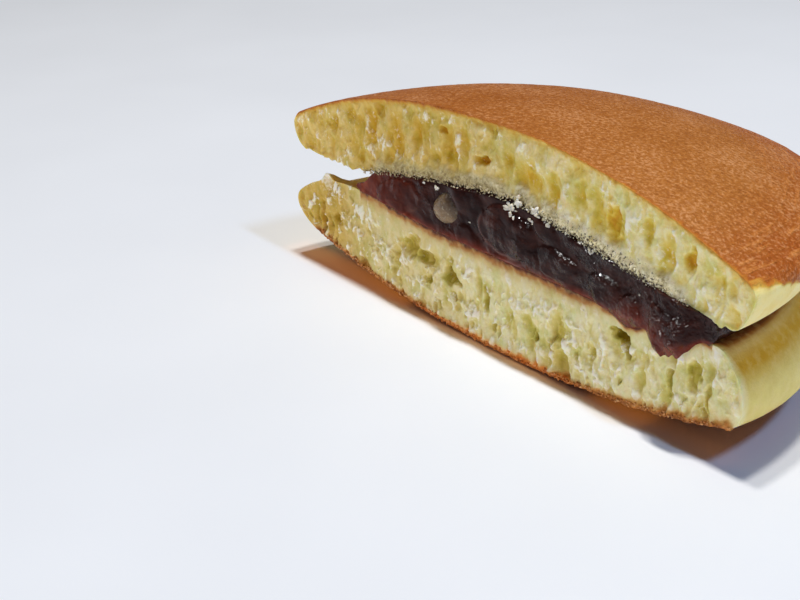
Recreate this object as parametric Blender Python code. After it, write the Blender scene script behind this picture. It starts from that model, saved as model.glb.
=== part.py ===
"""Half of a dorayaki: two domed griddle cakes with sweet bean paste between them, cut through the middle.

The cut lies in the plane y = 0 while the pieces are modelled, with the half behind it on +Y and the
table at z = 0. An empty then carries them all to the frame whose origin is the bottom centre of the box.
Run with: blender --background --python part.py
"""
import math
import random

import bmesh
import bpy
from mathutils import Vector, noise

# Driving dimensions, in metres.
GAP = 0.0003                    # room between pieces that touch

CRUST_RADIUS = 0.0486           # brown edge of the upper cake
UPPER_CENTRE = -0.0008          # the upper cake sits a little off the lower one, along X
DOME_HEIGHT = 0.0352            # middle of the browned top, above the table
EDGE_HEIGHT = 0.02535           # brown edge, above the table
DOME_POWER = 2.3
UPPER_FOOT_INSET = (0.0025, 0.0019)     # the rim's foot lies inside the brown edge: right end, left end
UPPER_BULGE = (0.0006, 0.0012)          # how far the rim swells: right end, left end
UNDERSIDE_HEIGHT = (0.0190, 0.0198)     # pale underside outside the paste: right end, left end

PASTE_RADIUS = 0.0375
PASTE_CENTRE = 0.0050           # the paste was spread off centre, along X
MOUND_HEIGHT = 0.0249           # top of the mound of paste, which lifts the upper cake
MOUND_POWER = (1.15, 1.5)       # how round the mound is: right end, left end
PASTE_SWELL = 0.0014            # the paste stands this far out of the cut
PASTE_NOSE = 0.0011             # rounding of its outer edge

LOWER_CENTRE = -0.0013
LOWER_TOP_RADIUS = 0.0457       # where the lower cake's pale top turns into its rim
LOWER_FOOT_RADIUS = 0.0462      # where its rim turns into the browned bottom
LOWER_FOOT_CENTRE = 0.0002
LOWER_BULGE = (0.0015, 0.0035)
LOWER_TOP_HEIGHT = 0.0151       # its pale top under the paste
RIDGE_RISE = (0.0010, 0.0014)   # the pale top rises round the paste: right end, left end
RIM_DROP = (0.0011, 0.0031)     # and falls to the rim
BOTTOM_RISE = 0.0059            # height of the browned bottom at its rim
BOTTOM_POWER = 2.2
REST_SETBACK = 0.0170           # the weight flattens the bottom this far behind the cut
FLAT_DEPTH = 0.00045            # how much of the curved bottom the flat spot takes

DIP_PLACE = 0.0278              # a hollow that the paste has pressed into the lower cake, along X
DIP_DEPTH = 0.0018
DIP_REACH = 0.0035

BLOB_CENTRE = (0.0366, -0.0015, 0.0162)     # paste that hangs over the lower cake at the cut
BLOB_SIZE = (0.0039, 0.0011, 0.0026)        # half its length, depth and height
BLOB_UNEVENNESS = 0.25          # how lumpy it is, as a share of its size
BLOB_SWELL = 0.0018             # the paste above it stands out this much more

BEAN_CENTRE = (-0.0090, 0.0006, 0.0200)     # the whole bean that the knife bared
BEAN_SIZE = (0.0040, 0.0019, 0.0026)        # half its length, depth and height
BEAN_TILT = math.radians(-33)

CAKE_GRID = (64, 8)             # columns and rows over a cake's cut
CAKE_STEPS = 22                 # steps round half a turn
PASTE_GRID = (44, 6)
PASTE_STEPS = 14

# Holes in the crumb that stand out, as (x, z, half width, half height, depth).
UPPER_HOLES = (
    (-0.0335, 0.0275, 0.0020, 0.0040, 0.0013),
    (-0.0225, 0.0275, 0.0018, 0.0045, 0.0013),
    (-0.0015, 0.0290, 0.0024, 0.0016, 0.0018),
    (0.0240, 0.0278, 0.0028, 0.0022, 0.0018),
    (0.0370, 0.0245, 0.0020, 0.0026, 0.0014),
)
LOWER_HOLES = (
    (-0.0180, 0.0108, 0.0048, 0.0025, 0.0019),
    (-0.0085, 0.0085, 0.0032, 0.0021, 0.0018),
    (-0.0015, 0.0065, 0.0016, 0.0030, 0.0014),
    (0.0145, 0.0085, 0.0018, 0.0036, 0.0014),
    (0.0265, 0.0118, 0.0027, 0.0020, 0.0021),
    (0.0285, 0.0065, 0.0015, 0.0034, 0.0013),
)
SMALL_HOLES = 42                # further holes in each cake, placed by a seeded draw


def clear_scene():
    for item in list(bpy.data.objects):
        bpy.data.objects.remove(item, do_unlink=True)


def mix(pair, amount):
    return pair[0] + (pair[1] - pair[0]) * amount


def smooth_step(low, high, value):
    share = min(max((value - low) / (high - low), 0.0), 1.0)
    return share * share * (3.0 - 2.0 * share)


def leftness(angle):
    """0 at the right end of the cut, 1 at its left end."""
    return 0.5 - 0.5 * math.cos(angle)


def wobble(angle, seed):
    """Unevenness of a hand-poured rim. It fades out at the cut."""
    place = Vector((1.4 * math.cos(angle), 1.4 * math.sin(angle), seed))
    return 0.0016 * noise.noise(place) * math.sin(angle)


def paste_reach(x, y):
    """Distance from the middle of the paste, as a share of its radius."""
    return math.hypot(x - PASTE_CENTRE, y) / PASTE_RADIUS


def dome_height(x, y, share):
    lump = 0.0004 * noise.noise(Vector((x * 60.0, y * 60.0, 3.0))) * (1.0 - share)
    return EDGE_HEIGHT + (DOME_HEIGHT - EDGE_HEIGHT) * (1.0 - share ** DOME_POWER) + lump


def underside_height(x, y):
    """Underside of the upper cake, lifted over the paste."""
    left = leftness(math.atan2(y, x - PASTE_CENTRE))
    level = mix(UNDERSIDE_HEIGHT, left)
    return level + (MOUND_HEIGHT - level) * (1.0 - min(paste_reach(x, y), 1.0) ** mix(MOUND_POWER, left))


def pale_top_height(x, y):
    """Top of the lower cake: nearly level under the paste, a low ridge round it, then down to the rim."""
    angle = math.atan2(y, x - LOWER_CENTRE)
    left = leftness(angle)
    reach = paste_reach(x, y)
    rim_x = LOWER_CENTRE + LOWER_TOP_RADIUS * math.cos(angle)
    rim_reach = paste_reach(rim_x, LOWER_TOP_RADIUS * math.sin(angle))
    outside = min(max((reach - 1.0) / (rim_reach - 1.0), 0.0), 1.0)
    dip = DIP_DEPTH * math.exp(-((x - DIP_PLACE) ** 2 + y * y) / DIP_REACH ** 2)
    ridge = mix(RIDGE_RISE, left) * smooth_step(0.45, 1.0, reach)
    return LOWER_TOP_HEIGHT + ridge - dip - mix(RIM_DROP, left) * outside ** 2.4


def bottom_height(x, y):
    """Browned bottom, with the flat spot that its weight presses into it."""
    back = LOWER_FOOT_RADIUS - REST_SETBACK
    along = (x - LOWER_FOOT_CENTRE) / LOWER_FOOT_RADIUS
    behind = y - REST_SETBACK
    across = behind / (back if behind > 0.0 else LOWER_FOOT_RADIUS)
    return max(BOTTOM_RISE * math.hypot(along, across) ** BOTTOM_POWER - FLAT_DEPTH, 0.0)


def draw_holes(seed, low, high, reach):
    """Small upright holes of the crumb, drawn along the cut between two heights."""
    draw = random.Random(seed)
    holes = []
    for number in range(SMALL_HOLES):
        x = reach * (2.0 * (number + draw.random()) / SMALL_HOLES - 1.0)
        z = draw.uniform(low, high)
        half_width = draw.uniform(0.0009, 0.0017)
        half_height = draw.uniform(0.0014, 0.0032)
        holes.append((x, z, half_width, half_height, draw.uniform(0.0006, 0.0012)))
    return holes


def hole_depth(holes, x, z):
    depth = 0.0
    for hole_x, hole_z, half_width, half_height, deepest in holes:
        away = ((x - hole_x) / half_width) ** 2 + ((z - hole_z) / half_height) ** 2
        if away < 1.0:
            depth = max(depth, deepest * math.sqrt(1.0 - away))
    return depth


def half_drum(grid, steps):
    """Half a drum of radius 1 and height 1: a grid for the cut, its edge spun half a turn behind it."""
    columns, rows = grid
    bm = bmesh.new()
    bmesh.ops.create_grid(bm, x_segments=columns, y_segments=rows, size=1.0)
    for vert in bm.verts:
        vert.co = Vector((vert.co.x, 0.0, 0.5 * vert.co.y + 0.5))
    edge = [e for e in bm.edges if e.is_boundary and min(v.co.x for v in e.verts) > -1e-6]
    corners = list({v for e in edge for v in e.verts})
    bmesh.ops.spin(bm, geom=corners + edge, cent=(0, 0, 0), axis=(0, 0, 1), angle=math.pi, steps=steps)
    bmesh.ops.remove_doubles(bm, verts=bm.verts, dist=1e-5)
    bmesh.ops.dissolve_degenerate(bm, edges=bm.edges, dist=1e-6)
    bmesh.ops.recalc_face_normals(bm, faces=bm.faces)
    return bm


def on_cut(place):
    """True inside the cut's outline, where crumb or paste shows."""
    return abs(place.y) < 1e-6 and abs(place.x) < 0.999 and 0.001 < place.z < 0.999


def polar(place):
    """Share of the radius and angle round the drum."""
    return min(math.hypot(place.x, place.y), 1.0), math.atan2(max(place.y, 0.0), place.x)


def between(place, low, top, swell, holes):
    """A point of a cake, between its lower and its upper face, with the rim's swell and the cut's holes."""
    share, angle = polar(place)
    outwards = share ** 6 * swell * 4.0 * place.z * (1.0 - place.z)
    spot = low.lerp(top, place.z) + outwards * Vector((math.cos(angle), math.sin(angle), 0.0))
    if on_cut(place):
        spot.y += hole_depth(holes, spot.x, spot.z)
    return spot


def upper_place(place, holes):
    share, angle = polar(place)
    left = leftness(angle)
    rim = CRUST_RADIUS + wobble(angle, 1.0)
    top_x = UPPER_CENTRE + share * rim * math.cos(angle)
    top_y = share * rim * math.sin(angle)
    foot = share * (rim - mix(UPPER_FOOT_INSET, left))
    foot_x = UPPER_CENTRE + foot * math.cos(angle)
    foot_y = foot * math.sin(angle)
    top = Vector((top_x, top_y, dome_height(top_x, top_y, share)))
    low = Vector((foot_x, foot_y, underside_height(foot_x, foot_y)))
    return between(place, low, top, mix(UPPER_BULGE, left), holes)


def lower_place(place, holes):
    share, angle = polar(place)
    uneven = wobble(angle, 5.0)
    top_x = LOWER_CENTRE + share * (LOWER_TOP_RADIUS + uneven) * math.cos(angle)
    top_y = share * (LOWER_TOP_RADIUS + uneven) * math.sin(angle)
    foot_x = LOWER_FOOT_CENTRE + share * (LOWER_FOOT_RADIUS + uneven) * math.cos(angle)
    foot_y = share * (LOWER_FOOT_RADIUS + uneven) * math.sin(angle)
    top = Vector((top_x, top_y, pale_top_height(top_x, top_y)))
    low = Vector((foot_x, foot_y, bottom_height(foot_x, foot_y)))
    return between(place, low, top, mix(LOWER_BULGE, leftness(angle)), holes)


def paste_place(place):
    share, angle = polar(place)
    reach = share * (PASTE_RADIUS - PASTE_NOSE) + share ** 6 * PASTE_NOSE * 4.0 * place.z * (1.0 - place.z)
    x = PASTE_CENTRE + reach * math.cos(angle)
    y = reach * math.sin(angle)
    low = pale_top_height(x, y) + GAP
    high = underside_height(x, y) - GAP
    spot = Vector((x, y, low + (high - low) * place.z))
    if on_cut(place):
        lump = 0.5 + noise.noise(Vector((x * 210.0, 7.0, spot.z * 260.0)))
        swell = PASTE_SWELL * (0.3 + 0.7 * lump) * (1.0 - place.x ** 4)
        swell += BLOB_SWELL * math.exp(-((x - BLOB_CENTRE[0]) / BLOB_SIZE[0]) ** 2)
        spot.y -= swell * 4.0 * place.z * (1.0 - place.z)
    return spot


def material(name, colour, roughness):
    made = bpy.data.materials.new(name)
    made.use_nodes = True
    shader = made.node_tree.nodes["Principled BSDF"]
    shader.inputs["Base Color"].default_value = (*colour, 1.0)
    shader.inputs["Roughness"].default_value = roughness
    shader.inputs["Metallic"].default_value = 0.0
    return made


def mesh_object(name, bm, collection, look=None):
    mesh = bpy.data.meshes.new(name)
    bm.to_mesh(mesh)
    bm.free()
    made = bpy.data.objects.new(name, mesh)
    collection.objects.link(made)
    if look is not None:
        mesh.materials.append(look)
        mesh.shade_smooth()
        mesh.set_sharp_from_angle(angle=math.radians(40))
    return made


def shaped_drum(grid, steps, rule):
    bm = half_drum(grid, steps)
    for vert in bm.verts:
        vert.co = rule(vert.co.copy())
    return bm


def egg(centre, half_sizes, tilt=0.0, grow=0.0, unevenness=0.0):
    """An egg-shaped lump, turned in the plane of the cut."""
    bm = bmesh.new()
    bmesh.ops.create_uvsphere(bm, u_segments=16, v_segments=10, radius=1.0)
    for vert in bm.verts:
        vert.co *= 1.0 + unevenness * noise.noise(vert.co * 1.7)
    bmesh.ops.scale(bm, verts=bm.verts, vec=[size + grow for size in half_sizes])
    turn = Vector((math.cos(tilt), 0.0, -math.sin(tilt)))
    up = Vector((math.sin(tilt), 0.0, math.cos(tilt)))
    for vert in bm.verts:
        vert.co = Vector(centre) + turn * vert.co.x + up * vert.co.z + Vector((0.0, vert.co.y, 0.0))
    return bm


def add_boolean(target, other, operation):
    boolean = target.modifiers.new(operation.lower(), "BOOLEAN")
    boolean.operation = operation
    boolean.object = other
    boolean.solver = "EXACT"
    other.hide_render = True
    other.display_type = "WIRE"


def make_upper_cake(parts):
    holes = list(UPPER_HOLES) + draw_holes(11, UNDERSIDE_HEIGHT[0] + 0.002, DOME_HEIGHT - 0.003, CRUST_RADIUS)
    bm = shaped_drum(CAKE_GRID, CAKE_STEPS, lambda place: upper_place(place, holes))
    return mesh_object("upper_cake", bm, parts, material("browned_cake", (0.45, 0.17, 0.05), 0.55))


def make_lower_cake(parts):
    holes = list(LOWER_HOLES) + draw_holes(23, 0.003, LOWER_TOP_HEIGHT - 0.002, LOWER_TOP_RADIUS)
    bm = shaped_drum(CAKE_GRID, CAKE_STEPS, lambda place: lower_place(place, holes))
    return mesh_object("lower_cake", bm, parts, material("pale_cake", (0.60, 0.42, 0.16), 0.7))


def make_bean_paste(parts, cutters):
    bm = shaped_drum(PASTE_GRID, PASTE_STEPS, paste_place)
    paste = mesh_object("bean_paste", bm, parts, material("bean_paste", (0.035, 0.018, 0.014), 0.3))
    blob = mesh_object("hanging_blob", egg(BLOB_CENTRE, BLOB_SIZE, unevenness=BLOB_UNEVENNESS), cutters)
    add_boolean(paste, blob, "UNION")
    pocket = mesh_object("bean_pocket", egg(BEAN_CENTRE, BEAN_SIZE, BEAN_TILT, GAP), cutters)
    add_boolean(paste, pocket, "DIFFERENCE")
    return paste


def make_whole_bean(parts):
    bm = egg(BEAN_CENTRE, BEAN_SIZE, BEAN_TILT)
    return mesh_object("whole_bean", bm, parts, material("bean_skin", (0.12, 0.08, 0.05), 0.4))


def stand_on_origin(parts, cutters):
    """Hangs every piece on an empty that puts the box's bottom centre at the origin."""
    holder = bpy.data.objects.new("stand", None)
    parts.objects.link(holder)
    for item in list(parts.objects) + list(cutters.objects):
        if item is not holder:
            item.parent = holder
    graph = bpy.context.evaluated_depsgraph_get()
    spots = []
    for item in parts.objects:
        if item.type == "MESH":
            spots += [item.matrix_world @ vert.co for vert in item.evaluated_get(graph).data.vertices]
    low = [min(spot[axis] for spot in spots) for axis in range(3)]
    high = [max(spot[axis] for spot in spots) for axis in range(3)]
    holder.location = (-0.5 * (low[0] + high[0]), -0.5 * (low[1] + high[1]), -low[2])


def main():
    clear_scene()
    parts = bpy.data.collections.new("dorayaki_half")
    cutters = bpy.data.collections.new("cutters")
    bpy.context.scene.collection.children.link(parts)
    bpy.context.scene.collection.children.link(cutters)
    make_upper_cake(parts)
    make_lower_cake(parts)
    make_bean_paste(parts, cutters)
    make_whole_bean(parts)
    stand_on_origin(parts, cutters)


main()
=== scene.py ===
"""Looks of the dorayaki half: crumb, crust, wet bean paste, loose crumbs, floor, light and camera."""

import math
import random

import bmesh
import bpy
import numpy as np
from mathutils import Matrix, Vector, noise


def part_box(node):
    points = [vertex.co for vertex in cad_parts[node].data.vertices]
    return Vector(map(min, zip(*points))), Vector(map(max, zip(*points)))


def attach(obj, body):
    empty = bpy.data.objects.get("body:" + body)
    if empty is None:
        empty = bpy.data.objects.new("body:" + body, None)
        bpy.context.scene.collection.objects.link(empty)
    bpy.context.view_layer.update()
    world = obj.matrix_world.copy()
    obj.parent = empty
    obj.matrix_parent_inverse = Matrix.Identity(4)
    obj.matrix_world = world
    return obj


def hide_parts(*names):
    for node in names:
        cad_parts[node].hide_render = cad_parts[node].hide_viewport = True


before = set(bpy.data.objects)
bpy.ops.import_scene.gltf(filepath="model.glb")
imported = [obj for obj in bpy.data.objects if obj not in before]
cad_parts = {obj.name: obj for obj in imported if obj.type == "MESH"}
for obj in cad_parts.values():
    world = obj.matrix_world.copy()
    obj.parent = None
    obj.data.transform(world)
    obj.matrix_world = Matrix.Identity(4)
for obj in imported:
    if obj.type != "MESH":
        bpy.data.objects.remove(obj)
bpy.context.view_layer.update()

MM = 0.001
TOUCH = 1e-5  # what lies closer than this counts as touching
CUT_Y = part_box("lower_cake")[0][1]  # the plane of the cut
MIDDLE_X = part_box("upper_cake")[1][0] - 0.0478  # the middle of the cut, along X

# Sizes of the cakes and the paste, in metres, about the middle of the cut.
CRUST_RADIUS = 0.0486
UPPER_CENTRE = -0.0008
DOME_HEIGHT = 0.0352
EDGE_HEIGHT = 0.02535
DOME_POWER = 2.3
UPPER_FOOT_INSET = (0.0025, 0.0019)
UPPER_BULGE = (0.0006, 0.0012)
UNDERSIDE_HEIGHT = (0.019, 0.0198)
PASTE_RADIUS = 0.0375
PASTE_CENTRE = 0.005
MOUND_HEIGHT = 0.0249
MOUND_POWER = (1.15, 1.5)
LOWER_CENTRE = -0.0013
LOWER_TOP_RADIUS = 0.0457
LOWER_FOOT_RADIUS = 0.0462
LOWER_FOOT_CENTRE = 0.0002
LOWER_BULGE = (0.0015, 0.0035)
LOWER_TOP_HEIGHT = 0.0151
RIDGE_RISE = (0.001, 0.0014)
RIM_DROP = (0.0011, 0.0031)
BOTTOM_RISE = 0.0059
BOTTOM_POWER = 2.2
REST_SETBACK = 0.017
FLAT_DEPTH = 0.00045
DIP_PLACE, DIP_DEPTH, DIP_REACH = 0.0278, 0.0018, 0.0035
TONGUE_PLACE, TONGUE_REACH, TONGUE_DROP = 0.0353, 0.0037, 0.0032
BEAN_CENTRE = (-0.009, 0.0006, 0.02)
BEAN_SIZE = (0.004, 0.0019, 0.0026)
BEAN_TILT = math.radians(-33)
UPPER_CORNERS = (0.0016, 0.0009)  # radius of the corners: upper, lower
LOWER_CORNERS = (0.002, 0.0006)

VEIL_PLACE, VEIL_REACH = (0.003, 0.0026), 0.0022  # a veil of paste, seen from the pale bean's middle
TUFT_PLACE, TUFT_HEIGHT = -0.0408, 0.0014  # a torn tuft on the lower cake, near the left end
SHALLOW = 0.00075  # holes no deeper than this have soft edges
CRUSHED_COUNT, BROWNED_COUNT = 520, 420

# Stretches of the cut along X, as (starts, full from, full to, stops).
BAND_SPAN = (-0.031, -0.024, 0.035, 0.039)
LIP_SPAN = (0.007, 0.013, 0.03, 0.035)
SMEAR_SPAN = (-0.034, -0.026, 0.031, 0.038)

# How finely the pieces are made: cells of the cut, steps round the rim, finer cuts of each cell of the cut.
CAKE_GRID, CAKE_STEPS, CAKE_CUTS = (112, 16), 106, 5
PASTE_GRID, PASTE_STEPS, PASTE_CUTS = (80, 12), 60, 3

# Holes in the crumb that stand out, as (x, z, half width, half height, depth) in millimetres.
UPPER_HOLES = (
    (-38.5, 26.2, 1.6, 1.8, 0.6), (-33.5, 28.4, 1.5, 2.6, 0.6), (-27.8, 28.6, 1.8, 3.6, 0.7),
    (-21.4, 28.2, 2, 3.8, 0.7), (-16.5, 29.2, 1.4, 2.6, 0.6), (-10.5, 31.3, 0.9, 0.8, 0.8),
    (-12.2, 26.8, 1.4, 1.6, 0.5), (-5.8, 30.2, 1.4, 2.2, 0.6), (-1.5, 29, 2.1, 0.9, 1.1),
    (4, 30.4, 1.5, 2.2, 0.6), (8, 28.5, 2.4, 2.6, 0.6), (13, 28.2, 1.4, 3.2, 0.7),
    (18, 29.2, 1.3, 2.4, 0.6), (24.2, 27, 2, 3.2, 0.9), (30.2, 27.6, 1.3, 2.4, 0.6),
    (33.5, 26.2, 1.3, 2.6, 0.5), (37.4, 25.8, 1.2, 1.5, 0.9), (42.2, 23.6, 1.1, 2.6, 0.4),
)
LOWER_HOLES = (
    (-38.8, 9.6, 2, 1.4, 0.8), (-18.6, 11, 2.8, 2.6, 1), (-15.5, 9.6, 2.8, 1.2, 1.1),
    (-14.5, 6.4, 1.1, 0.9, 0.9), (-8.8, 8.6, 2, 1.4, 1.3), (-9.4, 10.8, 0.9, 1.4, 0.7),
    (-1, 7.8, 0.9, 3.2, 0.9), (4.2, 6.2, 0.9, 2.4, 0.6), (8.5, 6.6, 1.2, 2.6, 0.7),
    (14.5, 8.2, 1.4, 4.4, 0.8), (20.8, 6.6, 1.2, 2.2, 0.8), (26.2, 11.7, 2.2, 1, 2.6),
    (27.6, 9.8, 0.8, 2.2, 1.4), (30.2, 6.6, 0.9, 3.4, 0.7), (35.2, 8.2, 0.7, 2.6, 0.9),
    (39, 10.5, 1.1, 3, 0.9), (41.3, 8.4, 0.6, 2.6, 0.8),
)

# Places where the crumb is torn into white flakes, as (x, z, half width, half height) in millimetres. The
# white is partly the flakes' own pale colour and partly painted highlight.
UPPER_TEARS = (
    (-25, 25.8, 6, 1.3), (-40, 26.8, 2, 1), (-27.5, 26.8, 2, 0.9),
    (-21, 25.2, 1.7, 0.9), (-33.5, 27.5, 1.3, 1.3), (12, 26.4, 3, 1.1),
    (16.5, 24.6, 4, 1.5), (22, 23, 3, 1.3), (27.5, 23.5, 2.6, 1.8),
    (31.5, 21.8, 3, 1), (33, 24.7, 1.4, 2.2), (41, 21.2, 1.6, 1.5),
)
LOWER_TEARS = (
    (-41, 15, 2.2, 1.2), (-30, 12, 1.7, 1), (-26.5, 8.8, 1.3, 1),
    (-24, 6.3, 1.6, 0.9), (-5, 5, 1.6, 1.2), (3, 4, 1.6, 1.1),
    (5.5, 8.5, 0.9, 1.6), (9.2, 10, 2.3, 1.3), (17.5, 9.8, 2.7, 1),
    (16.5, 6.7, 1.4, 1.7), (19.5, 4.3, 2.1, 1.3), (24, 4, 2.1, 1.3),
    (28.5, 10.3, 1.7, 1.2), (31.2, 11.5, 1.6, 1), (33, 5.6, 1.6, 2.1),
    (36.5, 6.2, 1.3, 2.3), (41.5, 15, 2, 1.2), (44.5, 13.5, 0.8, 1.2),
    (-34, 9.5, 2.2, 1.3), (-18, 5.2, 3, 0.9), (-11, 5.2, 2, 1.2),
    (-4, 11, 1.8, 0.8), (11, 3.6, 2, 0.9), (22.5, 9.5, 0.8, 2.4),
)


# --- Small helpers ---

def mix(pair, amount):
    """The first of the pair at 0, the second at 1."""
    return pair[0] + (pair[1] - pair[0]) * amount


def rise(low, high, value):
    """0 below low, 1 above high, with a soft rise between."""
    share = np.clip((value - low) / (high - low), 0, 1)
    return share * share * (3 - 2 * share)


def fall(low, high, value):
    """1 below low, 0 above high."""
    return 1 - rise(low, high, value)


def span(x, ends):
    """1 in a stretch along X, 0 outside it, with soft ends."""
    return rise(ends[0], ends[1], x) * fall(ends[2], ends[3], x)


def at(form, x, other=0):
    """The value of a form at one place."""
    return float(form(np.array([x]), np.array([other]))[0])


def cloud(points, size, seed, octaves=1):
    """Soft noise from -1 to 1 at each point, with lumps about as large as size, or as its size by axis."""
    spots = points / np.asarray(size) + seed * 7.31
    total = np.zeros(len(spots))
    for octave in range(octaves):
        scale = 2 ** octave
        total += np.array([noise.noise(spot) for spot in (spots * scale).tolist()]) / scale
    return total


def cells(points, size, seed):
    """How far each point is from the walls between cells, and a number from 0 to 1 for its cell."""
    spots = points / np.asarray(size) + seed * 5.17
    walls = np.empty(len(spots))
    draws = np.empty(len(spots))
    for index, spot in enumerate(spots.tolist()):
        distances, nearest = noise.voronoi(spot)
        walls[index] = distances[1] - distances[0]
        draws[index] = noise.cell(nearest[0] * 13.7)
    return walls, draws % 1


def flat_points(x, z):
    """Places in the plane of the cut."""
    return np.stack([x, np.zeros_like(x), z], axis=1)


def paint(*colour):
    """A colour given as screen values from 0 to 255, as the shaders want it."""
    parts = [part / 255 for part in colour]
    return (*(part / 12.92 if part <= 0.04045 else ((part + 0.055) / 1.055) ** 2.4 for part in parts), 1)


# --- The forms of the cakes and the paste ---

def leftness(angle):
    """0 at the right end of the cut, 1 at its left end."""
    return 0.5 - 0.5 * np.cos(angle)


def wobble(angle, seed):
    """How far a hand-made rim strays from round."""
    spots = np.stack([1.4 * np.cos(angle), 1.4 * np.sin(angle), np.full_like(angle, seed)], axis=1)
    return 0.0016 * cloud(spots, 1, 0) * np.sin(angle)


def paste_reach(x, y):
    """0 in the middle of the paste, 1 at its edge."""
    return np.hypot(x - PASTE_CENTRE, y) / PASTE_RADIUS


def dome_height(x, y, share):
    spots = np.stack([x * 60, y * 60, np.full_like(x, 3)], axis=1)
    lump = 0.0004 * cloud(spots, 1, 0) * (1 - share)
    return EDGE_HEIGHT + (DOME_HEIGHT - EDGE_HEIGHT) * (1 - share ** DOME_POWER) + lump


def underside_height(x, y):
    left = leftness(np.arctan2(y, x - PASTE_CENTRE))
    level = mix(UNDERSIDE_HEIGHT, left)
    inside = np.minimum(paste_reach(x, y), 1)
    return level + (MOUND_HEIGHT - level) * (1 - inside ** mix(MOUND_POWER, left))


def pale_top_height(x, y):
    angle = np.arctan2(y, x - LOWER_CENTRE)
    left = leftness(angle)
    reach = paste_reach(x, y)
    rim_x = LOWER_CENTRE + LOWER_TOP_RADIUS * np.cos(angle)
    rim_reach = paste_reach(rim_x, LOWER_TOP_RADIUS * np.sin(angle))
    outside = np.clip((reach - 1) / (rim_reach - 1), 0, 1)
    dip = DIP_DEPTH * np.exp(-((x - DIP_PLACE) ** 2 + y * y) / DIP_REACH ** 2)
    ridge = mix(RIDGE_RISE, left) * rise(0.45, 1, reach)
    ridge *= 1 - 0.9 * left * rise(0.0005, 0.006, y)
    return LOWER_TOP_HEIGHT + ridge - dip - mix(RIM_DROP, left) * outside ** 2.4


def bottom_height(x, y):
    back = LOWER_FOOT_RADIUS - REST_SETBACK
    along = (x - LOWER_FOOT_CENTRE) / LOWER_FOOT_RADIUS
    behind = y - REST_SETBACK
    across = behind / np.where(behind > 0, back, LOWER_FOOT_RADIUS)
    return np.maximum(BOTTOM_RISE * np.hypot(along, across) ** BOTTOM_POWER - FLAT_DEPTH, 0)


def round_off(from_rim, from_face, radius):
    """Moves points near a square corner onto a round one. Both distances are from the two faces."""
    across = np.clip(1 - from_rim / radius, 0, 1)
    along = np.clip(1 - from_face / radius, 0, 1)
    from_rim = from_rim + radius * across * (1 - np.sqrt(1 - along ** 2 / 2))
    from_face = from_face + radius * along * (1 - np.sqrt(1 - across ** 2 / 2))
    return from_rim, from_face


def rounded(drum, rim, thick, top_radius, low_radius):
    """The same places with the corners between the rim and the two faces rounded off."""
    share, angle, height = drum
    from_rim, from_top = round_off((1 - share) * rim, (1 - height) * thick, top_radius)
    from_rim, from_low = round_off(from_rim, thick - from_top, low_radius)
    return 1 - from_rim / rim, angle, from_low / thick


def between(drum, low, top, swell):
    """Points of a cake between its lower and its upper face, with the swell of its rim, and its thickness."""
    share, angle, height = drum
    outwards = share ** 6 * swell * 4 * height * (1 - height)
    spots = low + (top - low) * height[:, None]
    spots[:, 0] += outwards * np.cos(angle)
    spots[:, 1] += outwards * np.sin(angle)
    return spots, top[:, 2] - low[:, 2]


def round_face(drum, centre, radius, height_of):
    """One face of a cake: round about its centre, at the height that its form gives."""
    share, angle = drum[:2]
    x = centre + share * radius * np.cos(angle)
    y = share * radius * np.sin(angle)
    return np.stack([x, y, height_of(x, y)], axis=1)


def upper_form(drum):
    share, angle = drum[:2]
    left = leftness(angle)
    rim = CRUST_RADIUS + wobble(angle, 1)
    top = round_face(drum, UPPER_CENTRE, rim, lambda x, y: dome_height(x, y, share))
    low = round_face(drum, UPPER_CENTRE, rim - mix(UPPER_FOOT_INSET, left), underside_height)
    return between(drum, low, top, mix(UPPER_BULGE, left))


def lower_form(drum):
    angle = drum[1]
    uneven = wobble(angle, 5)
    top = round_face(drum, LOWER_CENTRE, LOWER_TOP_RADIUS + uneven, pale_top_height)
    low = round_face(drum, LOWER_FOOT_CENTRE, LOWER_FOOT_RADIUS + uneven, bottom_height)
    return between(drum, low, top, mix(LOWER_BULGE, leftness(angle)))


# --- Modelling helpers ---

def only(item):
    """Selects one object and makes it active."""
    bpy.ops.object.select_all(action="DESELECT")
    item.select_set(True)
    bpy.context.view_layer.objects.active = item


def fresh(name):
    """The object that was just added, under its new name."""
    item = bpy.context.active_object
    item.name = item.data.name = name
    return item


def pick(item, parts, wanted):
    """Selects the edges or the faces that pass a test, in edit mode."""
    bpy.ops.mesh.select_all(action="DESELECT")
    shape = bmesh.from_edit_mesh(item.data)
    for part in getattr(shape, parts):
        part.select = wanted(part)
    bmesh.update_edit_mesh(item.data)


def read_points(item):
    points = np.empty(len(item.data.vertices) * 3)
    item.data.vertices.foreach_get("co", points)
    return points.reshape(-1, 3)


def write_points(item, points):
    item.data.vertices.foreach_set("co", points.ravel())
    item.data.update()


def write_values(item, **values):
    """Keeps numbers for each vertex, which the materials read by name. What isn't kept reads as 0."""
    for name, numbers in values.items():
        layer = item.data.attributes.new(name, "FLOAT", "POINT")
        layer.data.foreach_set("value", np.asarray(numbers, dtype=np.float32))


def right_edge(edge):
    """Whether an edge lies on the right half of the grid's outline."""
    return edge.is_boundary and min(vert.co.x for vert in edge.verts) > -TOUCH


def flat_face(face):
    """Whether a face lies in the cut."""
    return max(abs(vert.co.y) for vert in face.verts) < TOUCH


def top_face(face):
    """Whether a face lies on the top or the upper rim, behind the cut."""
    return min(vert.co.z for vert in face.verts) > 0.7 and max(vert.co.y for vert in face.verts) > TOUCH


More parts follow.
